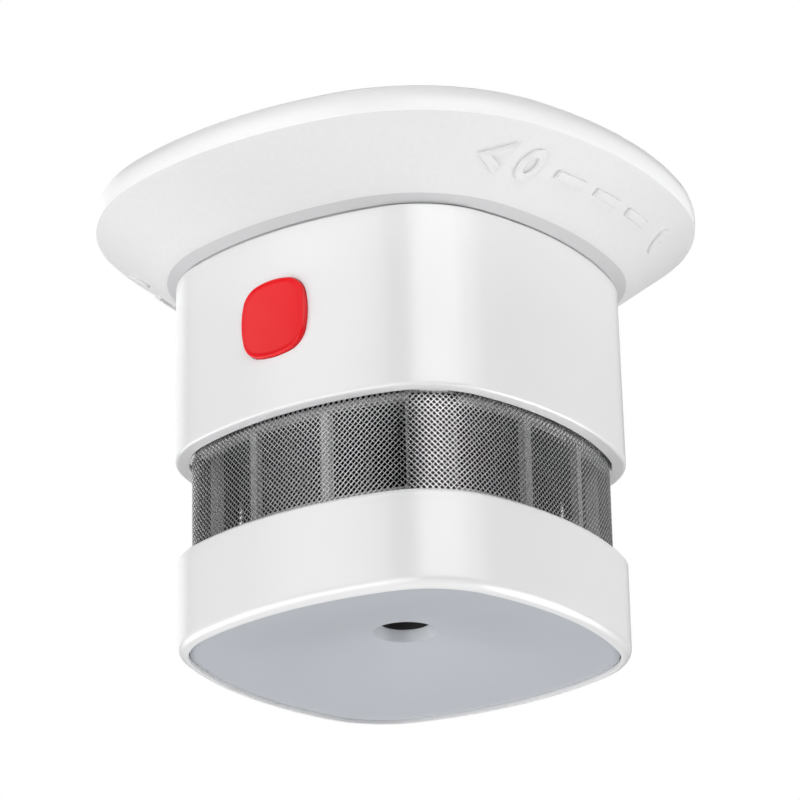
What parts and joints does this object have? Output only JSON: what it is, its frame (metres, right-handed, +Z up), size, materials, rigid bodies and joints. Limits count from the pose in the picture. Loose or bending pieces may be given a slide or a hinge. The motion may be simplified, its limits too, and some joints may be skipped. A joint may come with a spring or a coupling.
{
  "type": "smoke detector",
  "caption": "Ceiling-mounted mini smoke detector: rounded-square flared base, twist-lock head, red side test button, steel screen band, dished light panel with sound port.",
  "frame": {"origin": "centre of the base's ceiling face", "axes": "+Z up, out of the ceiling face; the detector hangs below, at z under 0; the test button is on the -Y side"},
  "size_m": [0.0592, 0.0592, 0.0492],
  "materials": {
    "white_plastic": "satin moulded white",
    "textured_white": "fine-textured moulded white",
    "red_plastic": "glossy red",
    "diffuser_grey": "light grey translucent",
    "screen_steel": "woven stainless wire",
    "cage_white": "moulded white",
    "inner_white": "moulded off-white",
    "chamber_black": "matt black, light absorbing",
    "board_green": "dark solder-masked glass fibre",
    "chip_black": "moulded black",
    "shield_tin": "tinned steel",
    "nickel": "nickel plated",
    "cell_sleeve": "printed sleeve, plain dark blue",
    "foam_pad": "closed-cell foam with acrylic face",
    "brass_disc": "bright brass",
    "ceramic_disc": "silvered ceramic",
    "seal_rubber": "matt black",
    "screw_steel": "zinc plated",
    "led_lens": "clear epoxy",
    "photodiode_epoxy": "dark infrared-pass epoxy",
    "led_chip": "phosphor and white package"
  },
  "bodies": {
    "base": {"base_shell": "textured_white", "adhesive_pad": "foam_pad", "lock_plate": "inner_white", "lock_plate_screws": "screw_steel"},
    "head": {"upper_housing": "white_plastic", "battery_cradle": "inner_white", "battery_cell": "cell_sleeve", "battery_terminal": "nickel", "battery_plus_contact": "nickel", "battery_minus_contact": "nickel", "main_board": "board_green", "controller_chip": "chip_black", "radio_module": "shield_tin", "board_header": "chip_black", "button_board": "board_green", "switch_body": "chip_black", "chamber_base": "chamber_black", "labyrinth_cover": "chamber_black", "ir_led": "led_lens", "photodiode": "photodiode_epoxy", "mesh_frame": "cage_white", "mesh_band": "screen_steel", "lower_cap": "white_plastic", "resonator_cup": "chamber_black", "piezo_disc": "brass_disc", "piezo_ceramic": "ceramic_disc", "piezo_seal_ring": "seal_rubber", "piezo_contact_pins": "nickel", "led_ring_board": "board_green", "indicator_leds": "led_chip", "diffuser_panel": "diffuser_grey", "case_screws": "screw_steel"},
    "button": {"test_button": "red_plastic"},
    "plunger": {"switch_plunger": "chip_black"}
  },
  "joints": [
    {"name": "twist_lock", "type": "hinge", "parent": "base", "child": "head", "pos_m": [0, 0, 0], "axis": [0, 0, -1], "range_deg": [0, 15]},
    {"name": "button_press", "type": "slide", "parent": "head", "child": "button", "axis": [0, 1, 0], "range_m": [0, 0.0008], "stiffness_N_per_m": 800, "springref_m": -0.001},
    {"name": "plunger_press", "type": "slide", "parent": "head", "child": "plunger", "axis": [0, 1, 0], "range_m": [0, 0.0008], "stiffness_N_per_m": 100, "springref_m": -0.001}
  ],
  "couplings": [
    {"joint": "plunger_press", "follows": "button_press", "ratio": 1}
  ]
}
